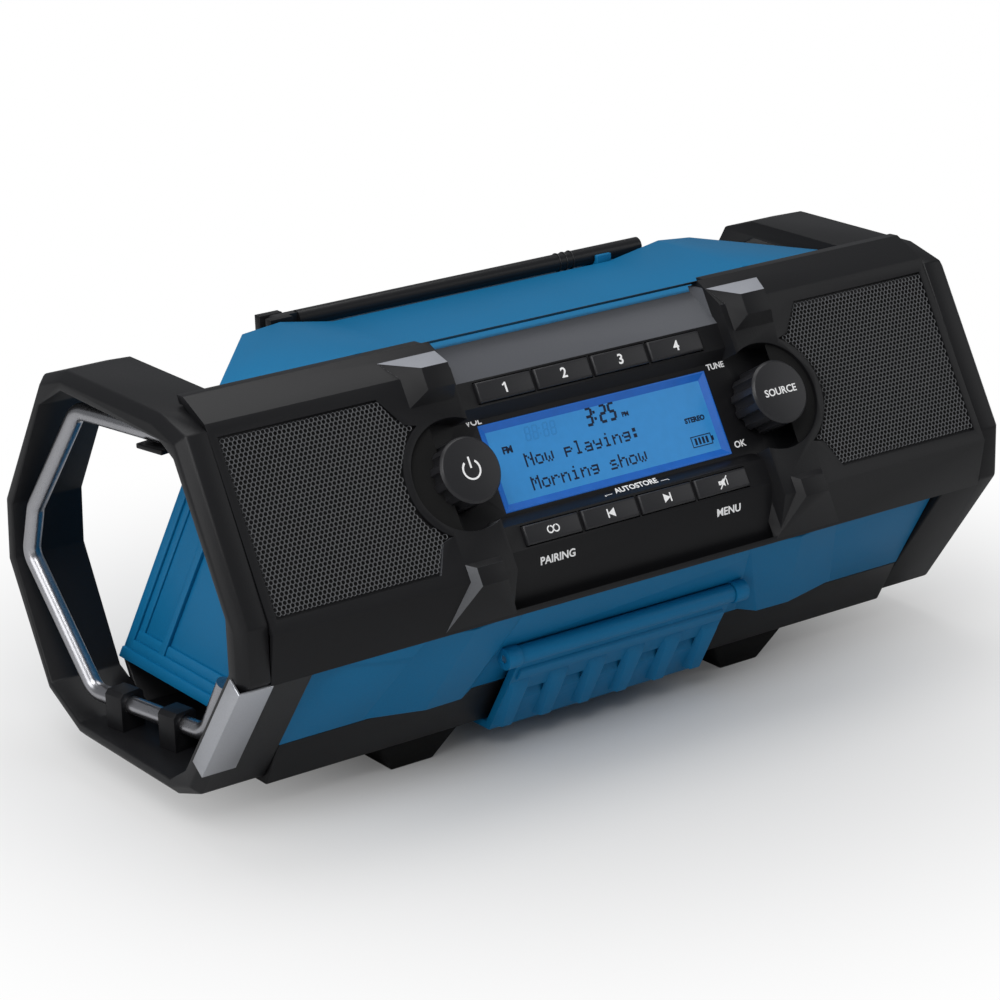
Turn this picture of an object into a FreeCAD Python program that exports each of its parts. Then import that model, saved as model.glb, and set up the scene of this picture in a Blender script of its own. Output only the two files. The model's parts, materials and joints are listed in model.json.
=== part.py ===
import FreeCAD, Part
import math
import os
from types import SimpleNamespace
from FreeCAD import Placement, Rotation, Vector

# Jobsite radio, millimetres. +X runs to the radio's right as a listener sees it, +Y to its back, +Z up.
# The origin is on the floor, under the middle of the radio.

doc = FreeCAD.newDocument("jobsite_radio")
sheet = doc.addObject("Spreadsheet::Sheet", "sizes")

SIZES = {
    "body_half": 146.0,
    "bezel_half": 164.0,
    "handle_half": 176.0,
    "handle_chamfer": 3.5,
    "ground_clearance": 13.0,
    "wall": 3.0,
    "panel_tilt": 60.3,
    "face_height": 118.0,
    "floor_height": 107.9,
    "ledge_height": 112.6,
    "console_half": 62.0,
    "cheek": 3.0,
    "knob_spacing": 142.2,
    "knob_height": 71.0,
    "knob_radius": 12.4,
    "knob_length": 15.2,
    "knob_flute_count": 12.0,
    "knob_flute_depth": 1.3,
    "knob_push": 0.8,
    "shaft_radius": 3.0,
    "dish_radius": 21.0,
    "running_gap": 0.05,
    "moving_gap": 0.35,
    "seat_gap": 0.15,
    "grille_thickness": 1.4,
    "grille_edge": 2.5,
    "cone_radius": 21.5,
    "window_width": 99.2,
    "window_bottom": 57.5,
    "window_top": 85.0,
    "window_bevel": 3.0,
    "window_thickness": 1.3,
    "button_pitch": 26.2,
    "button_gap": 1.6,
    "button_proud": 1.3,
    "button_travel": 1.0,
    "upper_button_bottom": 94.9,
    "upper_button_top": 102.7,
    "lower_button_bottom": 40.6,
    "lower_button_top": 48.0,
    "board_thickness": 1.6,
    "antenna_radius": 3.4,
    "antenna_left": 86.0,
    "antenna_right": 84.0,
    "antenna_depth": 31.4,
    "antenna_height": 157.6,
    "antenna_pin_radius": 1.25,
    "tongue_thickness": 3.4,
    "hook_radius": 3.4,
    "hook_turn": 10.4,
    "saddle_length": 9.0,
    "door_half": 50.0,
    "barrel_radius": 3.6,
    "door_pin_radius": 1.5,
    "bay_half": 42.0,
    "tray_wall": 2.0,
    "foot_spacing": 157.0,
    "foot_top_width": 35.0,
    "foot_sole_width": 18.5,
    "plate_thickness": 1.0,
    "screw_radius": 2.0,
    "screw_head_radius": 3.6,
}
for row, (alias, value) in enumerate(SIZES.items(), start=1):
    sheet.set(f"A{row}", alias)
    sheet.set(f"B{row}", str(value))
    sheet.setAlias(f"B{row}", alias)
doc.recompute()
s = SimpleNamespace(**{alias: float(sheet.get(alias)) for alias in SIZES})

# The control panel leans back. Pieces on it are drawn in its own frame: x as above, y up the panel,
# z straight out of it.
PANEL = Placement(Vector(), Rotation(Vector(1, 0, 0), s.panel_tilt))
LEAN = math.radians(s.panel_tilt)


def to_panel(depth, height):
    """Give a point of the side view as (up the panel, out of the panel)."""
    return (
        depth * math.cos(LEAN) + height * math.sin(LEAN),
        height * math.cos(LEAN) - depth * math.sin(LEAN),
    )


def shifted(points, distance):
    """Move an open outline sideways by a distance, to its right as it is walked."""
    lines = []
    for (ax, ay), (bx, by) in zip(points, points[1:]):
        length = math.hypot(bx - ax, by - ay)
        nx, ny = (by - ay) / length, -(bx - ax) / length
        lines.append((ax + nx * distance, ay + ny * distance, bx - ax, by - ay))
    moved = [lines[0][:2]]
    for (px, py, dx, dy), (qx, qy, ex, ey) in zip(lines, lines[1:]):
        cross = dx * ey - dy * ex
        t = ((qx - px) * ey - (qy - py) * ex) / cross
        moved.append((px + t * dx, py + t * dy))
    px, py, dx, dy = lines[-1]
    moved.append((px + dx, py + dy))
    return moved


def strip(points, distance):
    """Close an open outline with its own shifted copy, as the section of a wall."""
    return points + shifted(points, distance)[::-1]


def new_body(label, placement=Placement()):
    body = doc.addObject("PartDesign::Body", label)
    body.Label = label
    body.Placement = placement
    return body


def sketch_on(body, role, name, offset=0.0):
    plane = next(item for item in body.Origin.OriginFeatures if item.Role == role)
    sketch = body.newObject("Sketcher::SketchObject", f"{body.Name}_{name}")
    sketch.AttachmentSupport = [(plane, "")]
    sketch.MapMode = "FlatFace"
    sketch.AttachmentOffset = Placement(Vector(0, 0, offset), Rotation())
    return sketch


def draw_loop(sketch, points):
    for (ax, ay), (bx, by) in zip(points, points[1:] + points[:1]):
        sketch.addGeometry(Part.LineSegment(Vector(ax, ay, 0), Vector(bx, by, 0)), False)


def draw_circle(sketch, centre, radius):
    sketch.addGeometry(Part.Circle(Vector(*centre, 0), Vector(0, 0, 1), radius), False)


def rectangle(left, right, bottom, top):
    return [(left, bottom), (right, bottom), (right, top), (left, top)]


def extrude(kind, sketch, length, symmetric=False, reverse=False):
    """Add a Pad or a Pocket of a sketch, its length bound to the sheet."""
    body = sketch.getParentGeoFeatureGroup()
    feature = body.newObject(f"PartDesign::{kind}", f"{sketch.Name}_{kind.lower()}")
    feature.Profile = sketch
    feature.setExpression("Length", length)
    feature.SideType = "Symmetric" if symmetric else "One side"
    feature.Reversed = reverse
    doc.recompute()
    return feature


def pad_loops(body, role, name, loops, length, offset=0.0, symmetric=False, circles=(), kind="Pad",
              reverse=False):
    sketch = sketch_on(body, role, name, offset)
    for loop in loops:
        draw_loop(sketch, loop)
    for centre, radius in circles:
        draw_circle(sketch, centre, radius)
    return extrude(kind, sketch, length, symmetric, reverse)


def cut_loops(body, role, name, loops, length, offset=0.0, symmetric=False, circles=(), reverse=False):
    before = body.Shape.Volume
    feature = pad_loops(body, role, name, loops, length, offset, symmetric, circles, "Pocket", reverse)
    assert body.Shape.Volume < before - 1e-3, f"{feature.Name} cuts nothing"
    return feature


def primitive(kind, name, placement=Placement(), **sizes):
    item = doc.addObject(f"Part::{kind}", name)
    for key, value in sizes.items():
        if isinstance(value, str):
            item.setExpression(key, value)
        else:
            setattr(item, key, value)
    item.Placement = placement
    return item


def boolean(kind, name, base, tools):
    tool = tools[0]
    if len(tools) > 1:
        tool = doc.addObject("Part::MultiFuse", f"{name}_tools")
        tool.Shapes = tools
    item = doc.addObject(f"Part::{kind}", name)
    item.Base = base
    item.Tool = tool
    item.Label = name
    doc.recompute()
    return item


def group(label, items):
    bundle = doc.addObject("Part::Compound", label)
    bundle.Links = items
    bundle.Label = label
    doc.recompute()
    return bundle


nodes = []


def keep(item):
    doc.recompute()
    nodes.append(item)
    return item


ALONG_X = Rotation(Vector(0, 1, 0), 90)
ALONG_Y = Rotation(Vector(1, 0, 0), -90)

# The side view of the radio: depth to the back, height above the floor.
BEZEL_FRONT = [(-30.0, 160.0), (-34.5, 160.2), (-48.6, 153.7)]
face_low = 33.0
outer_face = [to_panel(*point) for point in BEZEL_FRONT] + [
    (face_low, s.face_height),
    to_panel(-82.5, 67.8),
]
outer_face[2] = (outer_face[2][0], s.face_height)
console_line = [
    to_panel(-30.0, 157.4),
    (103.8, s.ledge_height),
    (93.8, s.ledge_height),
    (90.0, s.floor_height),
    (53.0, s.floor_height),
    (49.2, s.ledge_height),
    (39.6, s.ledge_height),
    to_panel(-78.6, 67.9),
]
REAR_TOP = 160.3
housing_line = [
    (-29.8, REAR_TOP),
    (23.5, REAR_TOP),
    (25.5, 153.4),
    (37.5, 153.4),
    (66.0, 118.0),
    (74.0, 96.0),
    (74.0, 72.0),
    (58.0, 32.0),
    (-54.8, 32.0),
    (-77.9, 67.7),
]
HANDLE_OUTER = [
    (-33.0, 156.2), (-50.0, 151.6), (-83.5, 90.5), (-83.2, 70.0), (-44.0, 16.8), (-28.0, 11.6),
    (40.8, 11.6), (64.5, 23.0), (90.1, 70.0), (88.0, 96.0), (52.0, 150.8), (34.0, 156.2),
]
HANDLE_INNER = [
    (-37.0, 147.6), (-46.0, 143.0), (-74.5, 93.0), (-74.5, 73.0), (-39.5, 25.5), (-28.0, 18.4),
    (39.0, 18.4), (60.0, 28.0), (82.0, 72.0), (80.4, 94.0), (52.0, 139.5), (34.0, 149.0),
]

bezel_inner = shifted(outer_face, -s.wall)
beyond = 40.0


def front_bezel():
    body = new_body("front_bezel", PANEL)
    pad_loops(body, "YZ_Plane", "face", [strip(outer_face, -s.wall)], "2 * sizes.bezel_half",
              symmetric=True)
    gap = rectangle(-20, 160, 60, 160)
    cut_loops(body, "YZ_Plane", "middle", [gap], "2 * (sizes.console_half + sizes.cheek)", symmetric=True)
    for side in (-1, 1):
        opening = speaker_outline(side, s.grille_edge)
        cut_loops(body, "XY_Plane", f"opening{side + 1}", [opening], "2 * sizes.wall", s.face_height + 1)
        recess = speaker_outline(side, 0.0)
        cut_loops(body, "XY_Plane", f"recess{side + 1}", [recess], "sizes.grille_thickness + 1",
                  s.face_height + 1)
    console = strip(console_line, -s.wall)
    pad_loops(body, "YZ_Plane", "console", [console],
              "sizes.knob_spacing + 2 * (sizes.dish_radius + sizes.cheek)", symmetric=True)
    cheek = [console_line[0]] + outer_face[1:] + shifted(console_line, -s.wall / 2)[::-1][:-1]
    pad_loops(body, "YZ_Plane", "cheeks", [cheek], "2 * (sizes.console_half + sizes.cheek)", symmetric=True)
    knobs = [((side * s.knob_spacing / 2, s.knob_height), s.dish_radius + s.cheek) for side in (-1, 1)]
    pad_loops(body, "XY_Plane", "dish_walls", [], "sizes.face_height - sizes.floor_height + 1",
              s.floor_height - 1, circles=knobs)
    above = console_line + [(console_line[-1][0], 160.0), (console_line[0][0], 160.0)]
    cut_loops(body, "YZ_Plane", "recess_middle", [above], "2 * sizes.console_half", symmetric=True)
    dishes = [(centre, s.dish_radius) for centre, radius in knobs]
    cut_loops(body, "XY_Plane", "dishes", [], "40", s.floor_height, circles=dishes, reverse=True)
    for side in (-1, 1):
        for name, (low, high) in {"upper": (92.0, 121.5), "lower": (18.5, 49.5)}.items():
            corner_bump(body, side, name, low, high)
    behind = [(146.0, 106.3), (124.5, 105.45), (19.6, 101.3), (-10.0, 100.1), (-10.0, 60.0), (146.0, 60.0)]
    cut_loops(body, "YZ_Plane", "parting", [behind], "4 * sizes.bezel_half", symmetric=True)
    half = s.window_width / 2 + s.window_bevel
    window = rectangle(-half, half, s.window_bottom - s.window_bevel, s.window_top + s.window_bevel)
    cut_loops(body, "XY_Plane", "window", [window], "3 * sizes.wall", s.floor_height + 1)
    for row, (low, high) in BUTTON_ROWS.items():
        holes = [rectangle(left - s.moving_gap, right + s.moving_gap, low - s.moving_gap,
                           high + s.moving_gap) for left, right in button_places()]
        cut_loops(body, "XY_Plane", f"{row}_holes", holes, "4 * sizes.wall", s.ledge_height + 1)
    bores = [(centre, s.shaft_radius + 1.0) for centre, radius in knobs]
    cut_loops(body, "XY_Plane", "bores", [], "3 * sizes.wall", s.floor_height + 1, circles=bores)
    keep(body)


def corner_bump(body, side, name, low, high):
    """One faceted guard beside the console, as a loft between two rectangles."""
    crest = {"upper": (102.0, 110.3), "lower": (30.2, 37.0)}[name]
    crest_height = {"upper": 125.6, "lower": 121.0}[name]
    crest_x = {"upper": (67.2, 78.6), "lower": (69.0, 80.0)}[name]
    foot = sketch_on(body, "XY_Plane", f"{name}_foot{side + 1}", s.floor_height - 2.5)
    draw_loop(foot, rectangle(*sorted((side * 60.0, side * 92.0)), low, high))
    top = sketch_on(body, "XY_Plane", f"{name}_crest{side + 1}", crest_height)
    draw_loop(top, rectangle(*sorted(side * x for x in crest_x), *crest))
    loft = body.newObject("PartDesign::AdditiveLoft", f"{name}_bump{side + 1}")
    loft.Profile = foot
    loft.Sections = [top]
    loft.Ruled = True
    doc.recompute()


BUTTON_ROWS = {
    "upper": (s.upper_button_bottom, s.upper_button_top),
    "lower": (s.lower_button_bottom, s.lower_button_top),
}


def button_places():
    places = []
    for index in range(4):
        left = (index - 2) * s.button_pitch + s.button_gap / 2
        places.append((left, left + s.button_pitch - s.button_gap))
    return places


def speaker_outline(side, inset):
    """The speaker field beside one knob, seen square on to the panel."""
    outer = 160.8 - inset
    points = [
        (outer, 38.0 + inset), (outer, 104.2 - inset), (96.0, 104.2 - inset), (88.0, 93.0), (76.0 + inset, 90.0),
        (76.0 + inset, 52.0), (88.0, 49.0), (93.0 + inset, 38.0 + inset),
    ]
    return [(side * x, y) for x, y in points]


def speaker_grille(side, label):
    body = new_body(label, PANEL)
    bottom = s.face_height - s.grille_thickness
    pad_loops(body, "XY_Plane", "sheet", [speaker_outline(side, s.seat_gap)],
              "sizes.grille_thickness - sizes.seat_gap", bottom)
    dish = ((side * s.knob_spacing / 2, s.knob_height), s.dish_radius + s.cheek + s.seat_gap)
    cut_loops(body, "XY_Plane", "dish", [], "10", bottom + 5, circles=[dish])
    keep(body)


DRIVER_SPREAD = 121.0


def speaker_driver(side, label):
    """A paper cone in a steel basket with its magnet, turned about its own axis."""
    top = s.face_height - s.wall - 0.3
    body = new_body(label, PANEL.multiply(Placement(Vector(side * DRIVER_SPREAD, s.knob_height, top), Rotation())))
    sketch = sketch_on(body, "XZ_Plane", "section")
    rim = s.cone_radius
    draw_loop(sketch, [
        (0, -14), (8, -13), (rim - 5, -3), (rim - 2, -1), (rim - 1, 0), (rim + 3, 0), (rim + 3, -2.5),
        (rim, -3.5), (12, -20), (18, -20), (18, -31), (0, -31),
    ])
    turn = body.newObject("PartDesign::Revolution", f"{label}_turn")
    turn.Profile = sketch
    turn.ReferenceAxis = (sketch, ["V_Axis"])
    turn.Angle = 360
    keep(body)


def display_parts():
    lens = new_body("display_window", PANEL)
    clear = s.seat_gap
    half = s.window_width / 2 + s.window_bevel - clear
    low, high = s.window_bottom - s.window_bevel + clear, s.window_top + s.window_bevel - clear
    seat = s.floor_height - s.wall
    pad_loops(lens, "XY_Plane", "frame", [rectangle(-half, half, low, high)], "sizes.window_thickness", seat)
    rim = sketch_on(lens, "XY_Plane", "rim", seat + s.window_thickness)
    draw_loop(rim, rectangle(-half, half, low, high))
    draw_loop(rim, rectangle(-s.window_width / 2, s.window_width / 2, s.window_bottom, s.window_top))
    extrude("Pad", rim, "sizes.wall - sizes.window_thickness - 0.2")
    keep(lens)
    module = new_body("lcd_module", PANEL)
    pad_loops(module, "XY_Plane", "glass", [rectangle(-half + 2, half - 2, low + 1, high - 1)], "5", seat - 5)
    keep(module)
    board = new_body("main_circuit_board", PANEL)
    board_top = seat - 5
    pad_loops(board, "XY_Plane", "board", [rectangle(-92, 92, 34, 108)], "sizes.board_thickness",
              board_top - s.board_thickness)
    shafts = [((side * s.knob_spacing / 2, s.knob_height), s.shaft_radius + 1) for side in (-1, 1)]
    cut_loops(board, "XY_Plane", "bores", [], "20", board_top + 5, circles=shafts)
    keep(board)


def push_button(row, index, label):
    left, right = button_places()[index]
    low, high = BUTTON_ROWS[row]
    base = s.floor_height - s.wall - 3.2
    body = new_body(label, PANEL)
    cap = pad_loops(body, "XY_Plane", "cap", [rectangle(left, right, low, high)],
                    f"sizes.ledge_height + sizes.button_proud - {base}", base)
    edges = [f"Edge{number}" for number, edge in enumerate(cap.Shape.Edges, start=1)
             if edge.BoundBox.ZMin > s.ledge_height + s.button_proud - 0.1]
    chamfer = body.newObject("PartDesign::Chamfer", f"{label}_chamfer")
    chamfer.Base = (cap, edges)
    chamfer.Size = 0.6
    keep(body)


def knob(side, label, encoder_label, shaft_label):
    centre = Vector(side * s.knob_spacing / 2, s.knob_height, 0)
    place = PANEL.multiply(Placement(centre, Rotation()))
    base = s.floor_height + s.knob_push + 0.4
    body = new_body(label, place)
    pad_loops(body, "XY_Plane", "rim", [], "sizes.knob_length", base, circles=[((0, 0), s.knob_radius)])
    cut_loops(body, "XY_Plane", "socket", [], "sizes.knob_length - 4", base,
              circles=[((0, 0), s.shaft_radius + s.running_gap)], reverse=True)
    flute_radius = 2.2
    reach = s.knob_radius + flute_radius - s.knob_flute_depth
    flute = cut_loops(body, "XY_Plane", "flute", [], "sizes.knob_length - 1.5", base,
                      circles=[((reach, 0), flute_radius)], reverse=True)
    pattern = body.newObject("PartDesign::PolarPattern", f"{label}_flutes")
    pattern.Originals = [flute]
    pattern.Axis = (flute.Profile[0], ["N_Axis"])
    pattern.Angle = 360
    pattern.setExpression("Occurrences", "sizes.knob_flute_count")
    body.Tip = pattern
    doc.recompute()
    face = [f"Edge{number}" for number, edge in enumerate(pattern.Shape.Edges, start=1)
            if edge.BoundBox.ZMin > base + s.knob_length - 0.1]
    chamfer = body.newObject("PartDesign::Chamfer", f"{label}_chamfer")
    chamfer.Base = (pattern, face)
    chamfer.Size = 0.9
    doc.recompute()
    keep(body)
    board_top = s.floor_height - s.wall - 5
    encoder = new_body(encoder_label, place)
    case_height = s.floor_height - s.wall - 0.3 - board_top
    pad_loops(encoder, "XY_Plane", "case", [rectangle(-6, 6, -6, 6)], f"{case_height}", board_top)
    cut_loops(encoder, "XY_Plane", "bore", [], "20", board_top + 15,
              circles=[((0, 0), s.shaft_radius + s.running_gap)])
    keep(encoder)
    shaft = new_body(shaft_label, place)
    bottom = board_top + s.knob_push + 0.3
    top = base + s.knob_length - 4 - 0.2
    pad_loops(shaft, "XY_Plane", "rod", [], f"{top - bottom}", bottom, circles=[((0, 0), s.shaft_radius)])
    keep(shaft)


def end_planes(inset):
    """Make the blocks that cut the housing's ends, drawn in by an inset from the finished faces."""
    blocks = []
    for side in (-1, 1):
        for name, (corner, normal) in END_FACES.items():
            outward = Vector(side * normal[0], normal[1], normal[2]).normalize()
            point = Vector(side * corner[0], corner[1], corner[2]) - outward * inset
            turn = Rotation(Vector(0, 0, 1), outward)
            half = END_BLOCK / 2
            place = Placement(point + turn.multVec(Vector(-half, -half, 0)), turn)
            blocks.append(primitive("Box", f"{name}_{side + 1}_{int(inset)}", place, Length=END_BLOCK,
                                    Width=END_BLOCK, Height=END_BLOCK))
    return blocks


def housing_hull():
    body = new_body("housing_hull")
    pad_loops(body, "YZ_Plane", "hull", [housing_line], "2 * sizes.body_half", symmetric=True)
    lips = [(-150, 170), (-150, 154.0), (-88.7, REAR_TOP), (-65, 155.8), (65, 155.8), (88.7, REAR_TOP),
            (150, 154.0), (150, 170)]
    cut_loops(body, "XZ_Plane", "top_facets", [lips], "400", symmetric=True)
    half = s.door_half
    for side in (-1, 1):
        lug = sketch_on(body, "YZ_Plane", f"lug{side + 1}", (half + 0.35) if side > 0 else -(half + 6.35))
        draw_circle(lug, DOOR_AXIS, s.barrel_radius + 0.6)
        extrude("Pad", lug, "6")
    groove = ((DOOR_AXIS), s.barrel_radius + s.moving_gap)
    cut_loops(body, "YZ_Plane", "barrel_groove", [], "2 * sizes.door_half + 0.7", symmetric=True,
              circles=[groove])
    pin_hole = sketch_on(body, "YZ_Plane", "pin_hole")
    draw_circle(pin_hole, DOOR_AXIS, s.door_pin_radius + s.running_gap)
    extrude("Pocket", pin_hole, "2 * sizes.door_half + 14", symmetric=True)
    sleeve = s.bay_half + s.tray_wall + s.seat_gap
    pass_through = rectangle(-sleeve, sleeve, -70.0, TRAY_BACK + s.seat_gap)
    cut_loops(body, "XY_Plane", "tray_hole", [pass_through], "10", 40.0)
    mouth = rectangle(-s.bay_half, s.bay_half, 20.0, 42.0)
    cut_loops(body, "XZ_Plane", "mouth", [mouth], "46", 30.0, reverse=True)
    screw_x, screw_z = SCREW_PLACES
    holes = [((x, z), s.screw_radius + s.seat_gap) for x in screw_x for z in screw_z]
    cut_loops(body, "XZ_Plane", "screw_holes", [], "30", -90.0, circles=holes, reverse=True)
    return body


def housing_hollow():
    body = new_body("housing_hollow")
    inner = shifted(housing_line, s.wall)
    inner = [(-29.8, 149.5), (22.0, 149.5), (23.0, 149.5)] + inner[3:-1] + [inner[-1]]
    hollow = inner + [(inner[-1][0] - 20, inner[-1][1]), (inner[0][0] - 60, inner[0][1])]
    pad_loops(body, "YZ_Plane", "hollow", [hollow], "2 * (sizes.body_half - sizes.wall)", symmetric=True)
    return body


def rear_housing():
    hollow = boolean("Cut", "housing_room", housing_hollow(), end_planes(s.wall))
    hull = boolean("Cut", "housing_shape", housing_hull(), end_planes(0))
    keep(boolean("Cut", "rear_housing", hull, [hollow]))


END_BLOCK = 300.0
END_FACES = {
    "end_wall": ((146.0, 58.0, 32.0), (1.0, 0.0, 0.04)),
    "end_flank": ((146.0, 58.0, 32.0), (1.0, 0.80, 0.54)),
}
SCREW_PLACES = ((-92.0, 0.0, 92.0), (84.0,))
DOOR_AXIS = (-67.3, 45.5)
TRAY_BACK = 44.0


def housing_screws():
    items = []
    for x in SCREW_PLACES[0]:
        for z in SCREW_PLACES[1]:
            place = Placement(Vector(x, 74.0 + s.seat_gap, z), ALONG_Y)
            head = primitive("Cylinder", f"screw_head_{len(items)}", place,
                             Radius="sizes.screw_head_radius", Height=2.2)
            back = Placement(Vector(x, 60.0, z), ALONG_Y)
            shank = primitive("Cylinder", f"screw_shank_{len(items)}", back,
                              Radius="sizes.screw_radius", Height=15.0)
            items.append(boolean("Fuse", f"screw_{len(items)}", head, [shank]))
    keep(group("housing_screws", items))


def handle_frame(side, label):
    body = new_body(label)
    start = s.body_half if side > 0 else -s.handle_half
    sketch = sketch_on(body, "YZ_Plane", "ring", start)
    draw_loop(sketch, HANDLE_OUTER)
    draw_loop(sketch, HANDLE_INNER)
    ring = extrude("Pad", sketch, "sizes.handle_half - sizes.body_half")
    outboard = side * s.handle_half
    rim = [f"Edge{number}" for number, edge in enumerate(body.Shape.Edges, start=1)
           if abs(edge.BoundBox.XMin - outboard) < 0.01 and abs(edge.BoundBox.XMax - outboard) < 0.01
           and on_outline(edge, HANDLE_OUTER)]
    chamfer = body.newObject("PartDesign::Chamfer", f"{label}_chamfer")
    chamfer.Base = (ring, rim)
    chamfer.setExpression("Size", "sizes.handle_chamfer")
    doc.recompute()
    inner = [to_world(point) for point in shifted(outer_face, -s.wall)]
    front = [to_world((u, n)) for u, n in shifted(outer_face, beyond)]
    seat = inner + front[::-1]
    cut_start = s.body_half - 1 if side > 0 else -s.bezel_half
    cut_loops(body, "YZ_Plane", "bezel_seat", [seat], "sizes.bezel_half - sizes.body_half + 1", cut_start,
              reverse=True)
    keep(body)


def to_world(point):
    """Give a point of the panel's frame as (depth, height) in the side view."""
    up, out = point
    return (up * math.cos(LEAN) - out * math.sin(LEAN), up * math.sin(LEAN) + out * math.cos(LEAN))


def on_outline(edge, points):
    middle = edge.CenterOfMass
    for (ay, az), (by, bz) in zip(points, points[1:] + points[:1]):
        if math.hypot((ay + by) / 2 - middle.y, (az + bz) / 2 - middle.z) < 0.05:
            return True
    return False


def base_skid():
    body = new_body("base_skid")
    floor = s.ground_clearance
    outer = [(-54.8, 31.9), (-44.0, floor), (48.0, floor), (58.0, 31.9)]
    rim = outer[0][1]
    outline = [(depth, min(height, rim)) for depth, height in strip(outer, -s.wall)]
    pad_loops(body, "YZ_Plane", "tray", [outline], "2 * sizes.body_half", symmetric=True)
    mouth = rectangle(-s.bay_half, s.bay_half, -60.0, -16.0)
    cut_loops(body, "XY_Plane", "mouth", [mouth], "60", 40.0)
    keep(body)


def feet(label, depth):
    items = []
    for side in (-1, 1):
        wedge = primitive("Wedge", f"{label}_{side + 1}", Xmin=-s.foot_top_width / 2, Xmax=s.foot_top_width / 2,
                          Ymin=0, Ymax=s.ground_clearance, Zmin=-15, Zmax=15, X2min=-s.foot_sole_width / 2,
                          X2max=s.foot_sole_width / 2, Z2min=-9, Z2max=9)
        wedge.Placement = Placement(Vector(side * s.foot_spacing / 2, depth, s.ground_clearance),
                                    Rotation(Vector(1, 0, 0), -90))
        items.append(wedge)
    keep(group(label, items))


def battery_door():
    body = new_body("battery_door")
    axis_y, axis_z = DOOR_AXIS
    skin = [(-66.0, 45.6), (-45.2, 12.3), (-15.0, 12.3)]
    pad_loops(body, "YZ_Plane", "leaf", [strip(skin, s.wall)], "2 * sizes.door_half", symmetric=True)
    barrel = sketch_on(body, "YZ_Plane", "barrel")
    draw_circle(barrel, DOOR_AXIS, s.barrel_radius)
    extrude("Pad", barrel, "2 * sizes.door_half", symmetric=True)
    bore = sketch_on(body, "YZ_Plane", "bore")
    draw_circle(bore, DOOR_AXIS, s.door_pin_radius + s.running_gap)
    extrude("Pocket", bore, "2 * sizes.door_half + 2", symmetric=True)
    scallops = [((x, 24.0), 6.0) for x in (-36.0, -18.0, 0.0, 18.0, 36.0)]
    before = body.Shape.Volume
    grip = sketch_on(body, "XZ_Plane", "scallops", 58.0)
    for (x, z), radius in scallops:
        draw_circle(grip, (x, z), radius)
    extrude("Pocket", grip, "3.2")
    assert body.Shape.Volume < before, "the scallops cut nothing"
    keep(body)
    pins = []
    for side in (-1, 1):
        start = s.door_half - 12 if side > 0 else -(s.door_half + 6)
        pins.append(primitive("Cylinder", f"door_pin_{side + 1}", Placement(Vector(start, axis_y, axis_z),
                    ALONG_X), Radius="sizes.door_pin_radius", Height=18.0))
    keep(group("door_hinge_pins", pins))


def battery_tray():
    body = new_body("battery_tray")
    front, back, high = -40.0, TRAY_BACK, 58.0
    low = s.ground_clearance + s.wall + s.seat_gap
    outer = rectangle(front, back, low, high)
    inner = rectangle(front - 1, back - s.tray_wall, low + s.tray_wall, high - s.tray_wall)
    pad_loops(body, "YZ_Plane", "sleeve", [outer], "2 * (sizes.bay_half + sizes.tray_wall)", symmetric=True)
    cut_loops(body, "YZ_Plane", "bay", [inner], "2 * sizes.bay_half", symmetric=True)
    under = rectangle(-s.bay_half, s.bay_half, -60.0, -16.0)
    cut_loops(body, "XY_Plane", "under", [under], "6", 21.0)
    keep(body)
    block = primitive("Box", "terminal_block", Placement(Vector(-22, back - s.tray_wall - 14, 36), Rotation()),
                      Length=44, Width=13.85, Height=12)
    block.Label = "battery_terminals"
    keep(block)


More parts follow.
